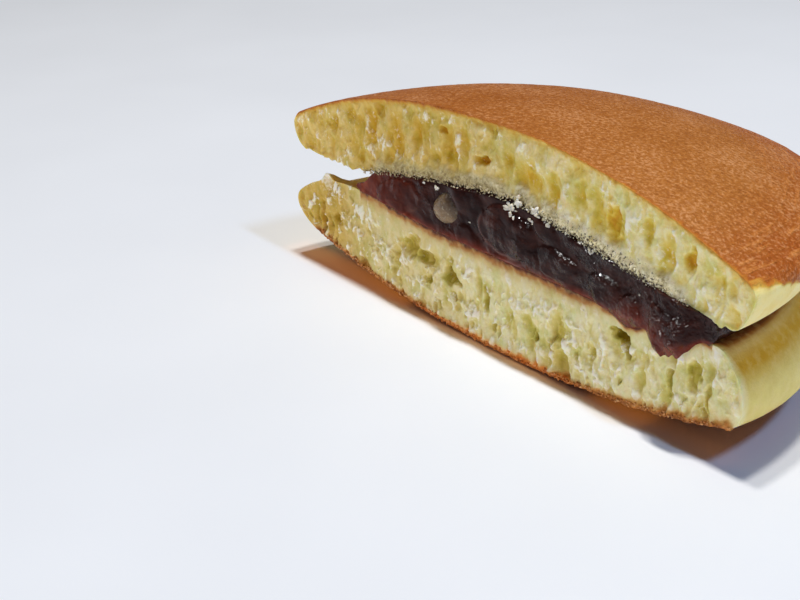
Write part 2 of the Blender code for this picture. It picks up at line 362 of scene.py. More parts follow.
def half_drum(name, grid, steps, cuts, fine_top=False):
    """Half a drum of radius 1 and height 1: a fine grid for the cut, and its edge spun half a turn."""
    bpy.ops.mesh.primitive_grid_add(x_subdivisions=grid[0], y_subdivisions=grid[1], size=2)
    drum = fresh(name)
    points = read_points(drum)
    write_points(drum, flat_points(points[:, 0], 0.5 * points[:, 1] + 0.5))
    bpy.ops.object.mode_set(mode="EDIT")
    bpy.ops.mesh.select_mode(type="EDGE")
    pick(drum, "edges", right_edge)
    bpy.ops.mesh.spin(steps=steps, angle=-math.pi, center=(0, 0, 0), axis=(0, 0, 1))
    bpy.ops.mesh.select_all(action="SELECT")
    bpy.ops.mesh.remove_doubles(threshold=TOUCH)
    bpy.ops.mesh.select_mode(type="FACE")
    pick(drum, "faces", flat_face)
    bpy.ops.mesh.subdivide(number_cuts=cuts)
    if fine_top:
        pick(drum, "faces", top_face)
        bpy.ops.mesh.subdivide(number_cuts=1)
    bpy.ops.mesh.select_all(action="SELECT")
    bpy.ops.mesh.normals_make_consistent(inside=False)
    bpy.ops.object.mode_set(mode="OBJECT")
    return drum


def drum_places(drum):
    """Share of the radius, angle and height of each vertex of a half drum, and which lie in the cut."""
    points = read_points(drum)
    share = np.minimum(np.hypot(points[:, 0], points[:, 1]), 1)
    angle = np.arctan2(np.maximum(points[:, 1], 0), points[:, 0])
    in_cut = np.abs(points[:, 1]) < TOUCH
    return (share, angle, np.clip(points[:, 2], 0, 1)), in_cut


def finish_piece(piece, material, node, sharp=40):
    """Moves a piece from the cut's own middle to its place in the frame and ties it to the frame."""
    write_points(piece, read_points(piece) + np.array([MIDDLE_X, CUT_Y, 0]))
    only(piece)
    bpy.ops.object.shade_smooth_by_angle(angle=math.radians(sharp))
    piece.data.materials.clear()
    piece.data.materials.append(material)
    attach(piece, "root")
    if node:
        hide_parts(node)
    bpy.data.collections["cake"].objects.link(piece)


# --- Crumb ---

def named_holes(x, z, holes, seed):
    """Depth of the holes that stand out. Their outlines are uneven and their walls slope."""
    spots = flat_points(x, z)
    pull_x = 0.0008 * cloud(spots, 0.0022, seed + 1)
    pull_z = 0.0008 * cloud(spots, 0.0022, seed + 2)
    torn = 0.28 * cloud(spots, 0.001, seed + 3, octaves=2)
    depth = np.zeros_like(x)
    for hole_x, hole_z, half_width, half_height, deepest in np.array(holes) * MM:
        away = np.hypot((x + pull_x - hole_x) / half_width, (z + pull_z - hole_z) / half_height)
        soft = 0 if deepest > SHALLOW else 1
        step = rise(-0.12 - 0.3 * soft, 0.62 + 0.3 * soft, 0.92 - away + torn * (1 - 0.5 * soft))
        depth = np.maximum(depth, deepest * step)
    return depth


def torn_places(x, z, tears):
    """1 in the middle of the torn places, 0 away from them."""
    torn = np.zeros_like(x)
    for tear_x, tear_z, half_width, half_height in np.array(tears) * MM:
        away = ((x - tear_x) / half_width) ** 2 + ((z - tear_z) / half_height) ** 2
        torn = np.maximum(torn, np.exp(-away))
    return torn


def crumb_relief(x, z, holes, tears, seed, style):
    """Depth of the crumb behind the cut, its hollows alone, which later set a deeper colour painted as shade
    and glow, and how white its torn flakes are, partly painted highlight.

    The cut opens tall rounded cells of many sizes. The thin walls between them are torn into small flakes.
    """
    spots = flat_points(x, z)
    bent = spots.copy()
    bent[:, 0] += 0.0007 * cloud(spots, 0.003, seed + 3) + 0.00035 * cloud(spots, 0.001, seed + 4)
    bent[:, 2] += 0.001 * cloud(spots, 0.003, seed + 5) + 0.0005 * cloud(spots, 0.001, seed + 6)
    wall, draw = cells(bent, style["cell_size"], seed)
    small_wall, small_draw = cells(bent, style["pore_size"], seed + 9)
    opened = rise(0.02, 0.6, wall) * rise(0.15, 0.85, draw)
    pores = rise(0.05, 0.55, small_wall) * rise(0.5, 1, small_draw)
    pores *= 0.5 + 1.1 * rise(0.0085, 0.0045, z)
    coarse = rise(-0.45, 0.45, cloud(spots, 0.006, seed + 19))
    ridge = np.exp(-(wall / 0.1) ** 2) + 0.6 * np.exp(-(small_wall / 0.1) ** 2)
    torn = torn_places(x, z, tears)
    chips = np.clip(cloud(bent, (0.0009, 1, 0.0014), seed + 13, octaves=2) + 0.15, 0, 1)
    scraps = np.clip(cloud(spots, (0.0012, 1, 0.002), seed + 15, octaves=2) + 0.05, 0, 1)
    # White of the torn flakes where they stand out: partly their own pale colour, partly painted highlight.
    white = np.clip(1.6 * chips * torn + 2.2 * scraps * (0.06 + ridge) * style["flaky"], 0, 1)
    grain = cloud(spots, 0.00034, seed + 7)
    swell = cloud(spots, 0.0034, seed + 8)
    small = cloud(bent, (0.0007, 1, 0.0012), seed + 17)
    named = named_holes(x, z, holes, seed)
    hollow = style["cell_depth"] * (opened * (0.45 + 0.55 * coarse) + 0.45 * pores) * (1 - 0.7 * torn)
    hollow = np.maximum(hollow, named)
    closed = 1 - np.clip(hollow / 0.0007, 0, 1)
    depth = hollow + 0.0003 * (0.6 + swell) + 0.00004 * grain + 0.00012 * small
    depth -= style["flake_height"] * white * (0.3 + 0.7 * closed)
    # The hollows' depth, kept for colour: the deeper, more golden colour in them is painted shade and glow.
    tone = np.maximum(hollow, 1.3 * named) + 0.0002 * (small + 1.6 * swell)
    return depth, tone, white * (0.25 + 0.75 * closed)


def cut_fade(share, height, thick, radius):
    """0 on the outline of the cut, 1 a millimetre inside it."""
    from_face = np.minimum(height, 1 - height) * thick
    from_end = (1 - share) * radius
    return rise(0, 0.0008, np.minimum(from_face, from_end))


UPPER_CRUMB = {"cell_size": (0.0034, 1, 0.0084), "pore_size": (0.0012, 1, 0.0024), "cell_depth": 0.00115,
               "flake_height": 0.00028, "flaky": 0.42}
LOWER_CRUMB = {"cell_size": (0.0028, 1, 0.0068), "pore_size": (0.0013, 1, 0.0018), "cell_depth": 0.0012,
               "flake_height": 0.0004, "flaky": 0.95}


def skin_limit(angle):
    """How far down the rim the browned skin comes: hardly at the cut, over two millimetres further round."""
    from_cut = np.minimum(angle, math.pi - angle)
    return 0.0001 + 0.0026 * rise(0.02, 0.3, from_cut)


def over_cut(in_cut, numbers):
    """Numbers for the vertices in the cut, with 0 for all others."""
    spread = np.zeros(len(in_cut))
    spread[in_cut] = numbers
    return spread


def shaped_cake(name, form, radius, corners, fine_top=False):
    """A cake with soft corners, the places of its vertices, its thickness and the fade of its relief."""
    cake = half_drum(name, CAKE_GRID, CAKE_STEPS, CAKE_CUTS, fine_top)
    drum, in_cut = drum_places(cake)
    drum = rounded(drum, radius, form(drum)[1], *corners)
    spots, thick = form(drum)
    fade = cut_fade(drum[0], drum[2], thick, radius)[in_cut]
    return cake, in_cut, drum, spots, thick, fade


def crushed_band(cut_x, cut_z, above_paste):
    """1 in the dense band of crushed crumb over the paste, the band's relief, and its lip on the right."""
    spots = flat_points(cut_x, cut_z)
    ragged = 1.3 * cloud(spots, 0.0024, 30, octaves=3)
    band = fall(0.3, 2.6, (above_paste + ragged) / 1.15) * span(cut_x, BAND_SPAN)
    grains, draws = cells(spots, 0.00042, 32)
    relief = -0.00006 * rise(0, 0.5, grains) * (0.4 + draws) - 0.00025
    relief += 0.0004 * cloud(spots, 0.0016, 31, octaves=2)
    lip = 0.0003 * np.exp(-((above_paste - 0.5) / 0.6) ** 2) * span(cut_x, LIP_SPAN)
    return band, relief, lip


def upper_crust(in_cut, drum, x, thick, skin):
    """1 where the upper cake is browned: on top, on the upper part of its rim and in a line on the cut."""
    share, angle, height = drum
    below_skin = (1 - height) * thick
    from_rim = (1 - share) * CRUST_RADIUS
    limit = skin_limit(angle)
    inside = np.where(below_skin < TOUCH, from_rim + limit, limit - below_skin)
    outside = rise(-0.0006, 0.0006, inside + 0.0005 * skin) * (height >= 0.3)
    line = np.exp(-np.maximum(below_skin + 0.00015 * skin, 0) / 0.00075)
    line *= 0.92 - 0.3 * rise(-0.015, 0.02, x)
    return np.where(in_cut, line * rise(-0.001, 0.0006, from_rim), outside)


def make_upper_cake(material):
    cake, in_cut, drum, spots, thick, fade = shaped_cake(
        "upper_sponge", upper_form, CRUST_RADIUS, UPPER_CORNERS, fine_top=True)
    share, _, height = drum
    x = spots[:, 0]
    cut_x, cut_z = spots[in_cut, 0], spots[in_cut, 2]
    depth, hollow, white = crumb_relief(cut_x, cut_z, UPPER_HOLES, UPPER_TEARS, 2, UPPER_CRUMB)
    above_paste = (cut_z - underside_height(cut_x, 0 * cut_x)) / MM
    band, relief, lip = crushed_band(cut_x, cut_z, above_paste)
    spots[in_cut, 1] += depth * fade * (1 - band) + band * relief - lip
    edge = np.exp(-np.maximum(above_paste, 0) / 0.7) * rise(0.998, 0.95, share[in_cut])
    spots[in_cut, 2] += edge * 0.0005 * cloud(flat_points(cut_x, cut_z), 0.0012, 33, octaves=3)

    # Fine leather on the browned top.
    outer = ~in_cut & (height > 0.5)
    dimples = cloud(spots[outer], 0.0012, 61, octaves=2)
    spots[outer, 2] += 0.00005 * dimples * rise(0, 0.001, spots[outer, 1])

    skin = cloud(spots, 0.0016, 41, octaves=2)
    # Dark at the foot of the band by the paste: partly paste grit, partly painted shade under the band's lip.
    smear = np.exp(-np.maximum(above_paste, 0) / (0.4 + 0.55 * rise(0, 0.022, cut_x)))
    write_points(cake, spots)
    write_values(
        cake,
        hollow=over_cut(in_cut, np.clip(hollow * fade / 0.0013, 0, 1.5) * (1 - band)),
        fleck=over_cut(in_cut, white * (1 - band)),
        crust=upper_crust(in_cut, drum, x, thick, skin),
        inward=rise(0, 0.014, (1 - share) * CRUST_RADIUS + 0.002 * skin),
        fringe=np.where(in_cut, 0.25, 0.35 * np.exp(-spots[:, 1] / 0.0005)),
        crushed=over_cut(in_cut, band),
        smear=over_cut(in_cut, smear * span(cut_x, SMEAR_SPAN)),
        # Darker and more golden towards the left.
        gold=0.8 - 0.72 * rise(-0.02, 0.03, x),
        cut=in_cut,
    )
    finish_piece(cake, material, "upper_cake")


def lower_crust(in_cut, drum, thick, skin):
    """1 where the lower cake is browned: on its underside and in a line at the foot of the cut."""
    share, _, height = drum
    above_skin = height * thick
    inside = np.where(above_skin < TOUCH, (1 - share) * LOWER_FOOT_RADIUS + 0.0004, -above_skin)
    outside = rise(-0.0006, 0.0006, inside + 0.0004 * skin)
    line = 1.15 * np.exp(-np.maximum(above_skin + 0.0003 * skin, 0) / 0.00045)
    return np.where(in_cut, line * fall(0.96, 1, share), outside)


def lower_soak(in_cut, height, spots, thick, skin):
    """1 where paste has soaked into the cut or stained the top of the lower cake."""
    x = spots[:, 0]
    width = 0.0013 - 0.0007 * rise(0.018, 0.026, x)
    soaked = 1.1 * np.exp(-np.maximum((1 - height) * thick + 0.0004 * skin, 0) / width)
    soaked *= paste_reach(x, 0 * x) < 0.98
    outside = np.maximum(paste_reach(x, spots[:, 1]) - 1.01, 0) * PASTE_RADIUS
    return np.where(in_cut, soaked, 0.8 * np.exp(-outside / 0.0008) * rise(0.5, 1, height))


def lower_gold(in_cut, height, spots):
    """How golden and shaded the lower cake is: painted shade on its top round and under the paste, in the gap
    under the upper cake, and more golden at the left end of the cut.
    """
    x = spots[:, 0]
    # Painted shade on the top round the paste, in the gap under the upper cake; weaker towards the left.
    top_gold = 2 * fall(0.98, 1.22, paste_reach(x, spots[:, 1])) * rise(0.4, 1, height)
    top_gold *= 0.3 + 0.7 * rise(-0.025, 0.01, x)
    left_gold = 0.85 * fall(-0.044, -0.026, x) + 0.35 * fall(-0.022, 0.002, x)
    return np.where(in_cut, left_gold, top_gold)


def make_lower_cake(material):
    cake, in_cut, drum, spots, thick, fade = shaped_cake(
        "lower_sponge", lower_form, LOWER_TOP_RADIUS, LOWER_CORNERS)
    share, _, height = drum
    cut_x, cut_z = spots[in_cut, 0], spots[in_cut, 2]
    dense = rise(0.62, 0.85, height[in_cut]) * (paste_reach(cut_x, 0 * cut_x) < 1.02)
    depth, hollow, white = crumb_relief(cut_x, cut_z, LOWER_HOLES, LOWER_TEARS, 12, LOWER_CRUMB)
    in_hole = named_holes(cut_x, cut_z, LOWER_HOLES, 12) > 0.0001
    spots[in_cut, 1] += np.where(in_hole, depth, depth * (1 - 0.7 * dense)) * fade
    hollow = np.where(in_hole, hollow, hollow * (1 - dense))

    # Shreds hang from the foot of the cut, but none reaches below the floor.
    low_edge = np.exp(-(height * thick)[in_cut] / 0.0007) * (share[in_cut] < 0.985)
    hanging = 0.0003 * rise(0.018, 0.028, cut_x) + 0.00012 * rise(0, 0.01, cut_x)
    shreds = 0.0003 * cloud(flat_points(cut_x, cut_z), 0.0012, 35, octaves=3)
    shreds = np.where(cut_z > 0.0006, shreds, np.maximum(shreds, 0))
    spots[in_cut, 2] += low_edge * (shreds - hanging)

    skin = cloud(spots, 0.0014, 43, octaves=2)
    tuft = np.exp(-((spots[:, 0] - TUFT_PLACE) / 0.0013) ** 2 - (spots[:, 1] / 0.0018) ** 2) * height ** 4
    spots[:, 2] += TUFT_HEIGHT * tuft
    write_points(cake, spots)
    write_values(
        cake,
        hollow=over_cut(in_cut, np.clip(hollow * fade / 0.0014, 0, 1.6)),
        fleck=np.maximum(over_cut(in_cut, white * (1 - 0.7 * rise(0.042, 0.044, cut_x))), tuft),
        crust=lower_crust(in_cut, drum, thick, skin),
        inward=np.ones(len(spots)),
        soak=lower_soak(in_cut, height, spots, thick, skin),
        gold=lower_gold(in_cut, height, spots),
        cut=in_cut,
    )
    finish_piece(cake, material, "lower_cake")


# --- Paste ---

# Beans and lumps that swell the paste, as (x, z, half length, half height, lift) in millimetres and a tilt in
# degrees.
PASTE_BEANS = (
    (-20.5, 18.8, 6.2, 2.8, 1, 12), (4.5, 20, 6, 3.7, 1.3, 0), (-4.5, 16.5, 3.2, 2, 0.8, -10),
    (14.5, 18.3, 4.2, 2.6, 0.9, -12), (23.5, 17.2, 3, 2.4, 1.2, -25), (28.5, 16, 2.6, 2, 1.1, -20),
    (33, 17.8, 3, 2, 0.8, -15), (19, 21.3, 3.2, 1.6, 0.6, -15), (12, 22.2, 2.6, 1.4, 0.6, -10),
    (-28, 18.7, 2.2, 1.6, 0.7, 30),
)


def bean_swell(x, z):
    """How far the beans push the paste out at each place."""
    spots = flat_points(x, z)
    pull = 0.0007 * cloud(spots, 0.0025, 52)
    swell = np.zeros_like(x)
    for *sizes, tilt in PASTE_BEANS:
        bean_x, bean_z, half_length, half_height, lift = np.array(sizes) * MM
        turn = math.radians(tilt)
        along = math.cos(turn) * (x + pull - bean_x) + math.sin(turn) * (z - bean_z)
        across = -math.sin(turn) * (x - bean_x) + math.cos(turn) * (z + pull - bean_z)
        away = (along / half_length) ** 2 + (across / half_height) ** 2
        dome = 0.5 * lift * rise(1.7, 0, away)
        swell += (dome - swell) * rise(-0.0003, 0.0003, dome - swell)
    return swell


def big_bean_fold(x, z):
    """1 on the torn skin that lies along the lower left edge of the largest bean, 0 away from it."""
    bean_x, bean_z, half_length, half_height = np.array(PASTE_BEANS[1][:4]) * MM
    pull = 0.0005 * cloud(flat_points(x, z), 0.002, 63)
    along = (x + pull - bean_x) / half_length
    across = (z + pull - bean_z) / half_height
    away = np.hypot(along, across)
    lower_left = rise(0.2, 0.7, -(0.65 * along + 0.75 * across) / np.maximum(away, 0.01))
    inner = np.exp(-((away - 0.98) / 0.05) ** 2)
    outer = np.exp(-((away - 1.22) / 0.05) ** 2) * rise(-0.5, 0.1, along)
    return np.maximum(0.6 * inner, outer) * lower_left


def paste_swell(x, z):
    """How far the paste stands out of the cut at each place."""
    flat = flat_points(x, z)
    skins = 1 - np.abs(cloud(flat, (0.0042, 1, 0.0022), 53, octaves=2))
    skins = np.clip(skins - 0.8, 0, 1) / 0.2
    grain = cloud(flat, 0.0013, 55)
    patches = rise(0.05, 0.4, cloud(flat, 0.0045, 57))
    swell = 0.0004 + bean_swell(x, z) + 0.0004 * cloud(flat, 0.0035, 51)
    swell += 0.00005 * skins ** 2 + 0.00004 * grain * (0.2 + patches) + 0.00014 * big_bean_fold(x, z)

    # The pale bean lies in a bowl. A thin veil of paste covers its upper right.
    right, up = x - BEAN_CENTRE[0], z - BEAN_CENTRE[2]
    along = right * math.cos(BEAN_TILT) - up * math.sin(BEAN_TILT)
    across = right * math.sin(BEAN_TILT) + up * math.cos(BEAN_TILT)
    bowl = np.exp(-(np.hypot(along / BEAN_SIZE[0], across / BEAN_SIZE[2]) / 1.25) ** 4)
    veil = np.exp(-((right - VEIL_PLACE[0]) ** 2 + (up - VEIL_PLACE[1]) ** 2) / VEIL_REACH ** 2)
    return swell + (0.0003 - swell) * bowl + 0.0009 * veil


def paste_form(drum, in_cut):
    share, angle, height = drum
    reach = share * (PASTE_RADIUS - 0.0011) + share ** 6 * 0.0011 * 4 * height * (1 - height)
    x = PASTE_CENTRE + reach * np.cos(angle)
    y = reach * np.sin(angle)
    low = pale_top_height(x, y) - 0.0001
    high = underside_height(x, y) + 0.0002
    left = leftness(angle)
    high -= (high - low) * 0.62 * left * rise(0.86, 1, share)
    z = low + (high - low) * height
    round_edge = 4 * height * (1 - height)
    fade = rise(0, 0.22, round_edge) * (1 - share ** 8)
    out = np.where(in_cut, paste_swell(x, z) * fade, 0)

    # A tongue of paste hangs over the lower cake near the right.
    ragged = 1 + 0.55 * cloud(flat_points(x, 0 * z), 0.0022, 58, octaves=2)
    tongue = np.exp(-np.abs((x - TONGUE_PLACE) / TONGUE_REACH) ** 4) * in_cut
    z -= TONGUE_DROP * tongue * (1 - height) ** 1.3 * ragged
    folds = 0.0004 * cloud(flat_points(x, z), 0.0017, 59, octaves=2)
    belly = 0.001 + 0.001 * np.sin(math.pi * np.clip(height * 1.3 + 0.06, 0, 1))
    out = np.maximum(out, tongue * (belly + folds))
    return np.stack([x, y - out, z], axis=1)


def thin_paste(x, z, height):
    """1 where the paste is thin and looks red: at its left end, along its foot and low on the tongue."""
    left_tip = fall(-0.031, -0.025, x)
    left_end = 0.55 * fall(-0.026, -0.01, x)
    low_edge = 0.9 * fall(0, 0.2, height) * rise(-0.034, -0.028, x)
    middle_low = 0.5 * np.exp(-((x + 0.004) / 0.005) ** 2 - ((z - 0.015) / 0.0016) ** 2)
    right_low = np.exp(-((x - 0.0298) / 0.0044) ** 2 - ((z - 0.0152) / 0.0019) ** 2)
    tongue_low = fall(0.0135, 0.016, z)
    return np.clip(left_tip + left_end + low_edge + middle_low + right_low + tongue_low, 0, 1)


def make_paste(material):
    paste = half_drum("wet_paste", PASTE_GRID, PASTE_STEPS, PASTE_CUTS)
    drum, in_cut = drum_places(paste)
    spots = paste_form(drum, in_cut)
    x, z = spots[:, 0], spots[:, 2]
    write_points(paste, spots)
    # The line along the big bean's torn skin is kept for a painted highlight.
    write_values(paste, thin=thin_paste(x, z, drum[2]), fold=np.where(in_cut, big_bean_fold(x, z), 0))
    finish_piece(paste, material, "bean_paste", sharp=80)
    bpy.data.collections["wet"].objects.link(paste)


def make_bean(material):
    """The pale bean: a tilted lump, uneven by soft noise, under a veil of paste at its upper right."""
    bpy.ops.mesh.primitive_ico_sphere_add(subdivisions=5, radius=1)
    bean = fresh("bared_bean")
    points = read_points(bean)
    points *= (1 + 0.09 * cloud(points, 0.9, 8, octaves=3))[:, None] * np.asarray(BEAN_SIZE)
    turned = points.copy()
    turned[:, 0] = math.cos(BEAN_TILT) * points[:, 0] + math.sin(BEAN_TILT) * points[:, 2]
    turned[:, 2] = -math.sin(BEAN_TILT) * points[:, 0] + math.cos(BEAN_TILT) * points[:, 2]
    write_points(bean, turned + np.asarray(BEAN_CENTRE))
    away = turned / BEAN_SIZE[0]
    write_values(bean, veil=rise(-0.5, 0.9, 0.7 * away[:, 0] + 0.9 * away[:, 2]))
    finish_piece(bean, material, "whole_bean", sharp=80)
    bpy.data.collections["wet"].objects.link(bean)


# --- Loose crumbs ---

def crumb_heap(name, places, material, seed):
    """Joins many small uneven crumbs, each at (x, y, z, size), into one piece."""
    draw = random.Random(seed)
    bpy.ops.mesh.primitive_ico_sphere_add(subdivisions=2, radius=1)
    first = bpy.context.active_object
    ball = read_points(first)
    made = [first]
    for _ in places[1:]:
        copy = first.copy()
        copy.data = first.data.copy()
        bpy.context.collection.objects.link(copy)
        made.append(copy)
    for number, (piece, (x, y, z, size)) in enumerate(zip(made, places)):
        points = ball * (1 + 0.75 * cloud(ball, 0.55, seed + number * 1.7))[:, None]
        points *= size * np.array([draw.uniform(0.7, 1.3), draw.uniform(0.6, 1.1), draw.uniform(0.7, 1.2)])
        write_points(piece, points + np.array([x, y, z]))
    only(first)
    for piece in made:
        piece.select_set(True)
    bpy.ops.object.join()
    finish_piece(fresh(name), material, None, sharp=80)


def crushed_places():
    """Crumbs of the crushed band, along the upper cake's lower edge. They are larger towards the right."""
    draw = random.Random(5)
    places = []
    for _ in range(CRUSHED_COUNT):
        x = draw.uniform(-0.03, 0.038)
        edge = at(underside_height, x)
        right = min(max((x - 0.004) / 0.01, 0), 1)
        up = draw.random() ** 1.3
        size = draw.uniform(0.00006, 0.00014) * (1 + 0.5 * right * draw.random())
        z = edge - 0.0004 + 0.0012 * up
        out = 0.0003 + 0.0003 * draw.random()
        if z < edge - 0.0001:
            out = 0.8 * at(paste_swell, x, z)
        places.append((x, -out, z, size))
    return places


def fallen_places():
    """White crumbs that fell on the paste: a few clumps and some single ones."""
    draw = random.Random(9)

    # Clumps as (x, z, number of crumbs, spread).
    clumps = ((0.0068, 0.0251, 24, 0.00044), (0.0044, 0.0239, 18, 0.00038), (0.0055, 0.024, 16, 0.00038),
              (0.0058, 0.0231, 10, 0.0003), (0.0104, 0.0249, 20, 0.0004), (0.0092, 0.0233, 6, 0.00026),
              (0.0127, 0.0236, 12, 0.0003), (0.0086, 0.0246, 3, 0.00022), (-0.0112, 0.0224, 10, 0.0003),
              (-0.0141, 0.0226, 4, 0.0002), (0.0211, 0.0221, 8, 0.0003), (-0.0036, 0.0192, 5, 0.00014),
              (0.03, 0.019, 4, 0.00014), (-0.01, 0.0176, 4, 0.00012), (0.019, 0.023, 4, 0.00024))
    places = []
    for centre_x, centre_z, count, spread in clumps:
        ground = at(paste_swell, centre_x, centre_z)
        for _ in range(count):
            across = draw.gauss(0, 0.8)
            up = draw.gauss(0, 0.6)
            size = spread * draw.uniform(0.3, 0.75)
            heap = spread * max(0.8 - 0.3 * (across ** 2 + up ** 2), 0.1)
            out = ground + heap + size * draw.uniform(-0.3, 0.3)
            places.append((centre_x + across * spread, -out, centre_z + up * spread, size))
    return places


def crust_places():
    """Browned crumbs along the bottom edge of the cut. They hang lower towards the right."""
    draw = random.Random(13)
    places = []
    for _ in range(BROWNED_COUNT):
        x = draw.uniform(-0.043, 0.0455)
        foot = at(bottom_height, x)
        size = draw.uniform(0.00008, 0.00022)
        hang = 0.0004 * min(max((x - 0.01) / 0.02, 0), 1)
        z = max(foot - hang + 0.0007 * draw.random(), size * 1.4)
        places.append((x, 0.0001 - 0.00015 * draw.random(), z, size))
    return places


# --- Materials ---

class Shader:
    """A material's node tree with short calls for the nodes used here."""

    def __init__(self, name):
        self.material = bpy.data.materials.new(name)
        self.material.use_nodes = True
        self.tree = self.material.node_tree
        self.body = self.tree.nodes["Principled BSDF"]
        self.coords = self.new("TexCoord").outputs["Object"]

    def put(self, node_input, value):
        if isinstance(value, bpy.types.NodeSocket):
            self.tree.links.new(value, node_input)
        else:
            node_input.default_value = value

    def fill(self, node, **inputs):
        for name, value in inputs.items():
            self.put(node.inputs[name.replace("_", " ")], value)
        return node

    def new(self, kind, **inputs):
        return self.fill(self.tree.nodes.new("ShaderNode" + kind), **inputs)

    def set(self, **inputs):
        self.fill(self.body, **inputs)

    def values(self, name):
        """A number kept on the vertices."""
        made = self.new("Attribute")
        made.attribute_name = name
        return made.outputs["Fac"]

    def grain(self, size, detail=2, roughness=0.5, stretch=(1, 1, 1)):
        """Noise whose lumps are about as large as size, in metres."""
        place = self.new("Mapping", Vector=self.coords, Scale=stretch).outputs["Vector"]
        made = self.new("TexNoise", Vector=place, Scale=1 / size, Detail=detail, Roughness=roughness)
        return made.outputs["Fac"]

    def rings(self, across, along):
        """Noise whose lumps follow circles round the middle of the cake."""
        place = self.new("SeparateXYZ", Vector=self.coords)
        x = self.maths("SUBTRACT", place.outputs["X"], MIDDLE_X + UPPER_CENTRE)
        y = self.maths("SUBTRACT", place.outputs["Y"], CUT_Y)
        radius = self.maths("POWER", self.add(self.times(x, x), self.times(y, y)), 0.5)
        angle = self.times(self.maths("ARCTAN2", y, x), CRUST_RADIUS * across / along)
        bent = self.new("CombineXYZ", X=radius, Y=angle).outputs["Vector"]
        return self.new("TexNoise", Vector=bent, Scale=1 / across, Detail=3).outputs["Fac"]

    def pebbles(self, size):
        """Soft round cells about as large as size."""
        made = self.new("TexVoronoi", Vector=self.coords, Scale=1 / size)
        made.feature = "SMOOTH_F1"
        made.inputs["Smoothness"].default_value = 0.6
        return made.outputs["Distance"]

    def maths(self, operation, first, second):
        made = self.new("Math")
        made.operation = operation
        self.put(made.inputs[0], first)
        self.put(made.inputs[1], second)
        return made.outputs[0]

    def add(self, first, second):
        return self.maths("ADD", first, second)

    def times(self, first, second):
        return self.maths("MULTIPLY", first, second)

    def spread(self, value, low, high, out_low=0, out_high=1):
        """The value, drawn out so that low becomes out_low and high becomes out_high."""
        made = self.new("MapRange", Value=value, From_Min=low, From_Max=high, To_Min=out_low, To_Max=out_high)
        return made.outputs["Result"]

    def along_x(self, left, right):
        """0 at the place left, 1 at the place right, along X in metres."""
        return self.spread(self.new("SeparateXYZ", Vector=self.coords).outputs["X"], left, right)

    def colours(self, value, stops):
        """A run of colours led by a value. Each stop is (place from 0 to 1, red, green, blue)."""
        made = self.new("ValToRGB", Fac=value)
        ramp = made.color_ramp
        for element, (place, *colour) in zip(ramp.elements, (stops[0], stops[-1])):
            element.position = place
            element.color = paint(*colour)
        for place, *colour in stops[1:-1]:
            ramp.elements.new(place).color = paint(*colour)
        return made.outputs["Color"]

    def blend(self, share, first, second, how="MIX"):
        """Two colours mixed by a share. Each is another node's colour or a screen colour."""
        made = self.new("Mix")
        made.data_type = "RGBA"
        made.blend_type = how
        for number, value in ((0, share), (6, first), (7, second)):
            self.put(made.inputs[number], paint(*value) if isinstance(value, tuple) else value)
        return made.outputs[2]

    def blend_normals(self, share, first, second):
        made = self.new("Mix")
        made.data_type = "VECTOR"
        for number, value in ((0, share), (4, first), (5, second)):
            self.put(made.inputs[number], value)
        return made.outputs[1]

    def bump(self, height, distance, strength):
        return self.new("Bump", Height=height, Distance=distance, Strength=strength).outputs["Normal"]


def crumb_colour(shader, fleck, stops):
    """The crumb: golden and greenish places, deeper and more golden in its hollows as painted shade and glow,
    with white flakes that are partly painted highlight.
    """
    spread, grain, blend = shader.spread, shader.grain, shader.blend
    streaks = spread(grain(0.0013, 3, 0.6, (1, 1, 0.6)), 0.3, 0.7, -0.18, 0.2)
    hollow = shader.add(shader.values("hollow"), streaks)
    # Deeper, more golden colour in the hollows: painted shade and glow.
    crumb = shader.colours(spread(hollow, -0.25, 1.05), stops)
    crumb = blend(shader.values("gold"), crumb, (226, 198, 132), "MULTIPLY")
    greenish = spread(grain(0.003, 3, 0.6), 0.46, 0.66, 0, 0.8)
    crumb = blend(greenish, crumb, (228, 236, 196), "MULTIPLY")
    return blend(fleck, crumb, (250, 244, 228))


def crushed_colour(shader, pale):
    """The crushed band over the pale crumb, sandy on the left and whiter on the right, smeared with paste and
    darkened at its foot with painted shade.
    """
    spread, grain, blend = shader.spread, shader.grain, shader.blend
    crushed = shader.values("crushed")
    crumbly = shader.add(grain(0.0005, 3, 0.7), spread(crushed, 0.45, 1, 0.14, -0.07))
    dark_specks = shader.colours(crumbly, (
        (0.28, 120, 100, 66), (0.44, 170, 152, 108), (0.58, 198, 184, 138), (0.76, 220, 210, 172)))
    white_specks = shader.colours(crumbly, (
        (0.28, 150, 134, 100), (0.42, 204, 192, 152), (0.56, 228, 218, 186), (0.74, 246, 240, 220)))
    specks = blend(shader.along_x(-0.008, 0.014), dark_specks, white_specks)
    pale = blend(spread(crushed, 0.05, 0.75, 0, 0.92), pale, specks)
    # Dark smear: partly paste, partly painted shade under the band's lip.
    dirt = shader.add(shader.values("smear"), spread(grain(0.00036, 3, 0.7), 0.35, 0.65, -0.48, 0.52))
    return blend(spread(dirt, 0.5, 0.78, 0, 0.95), pale, (54, 38, 32))


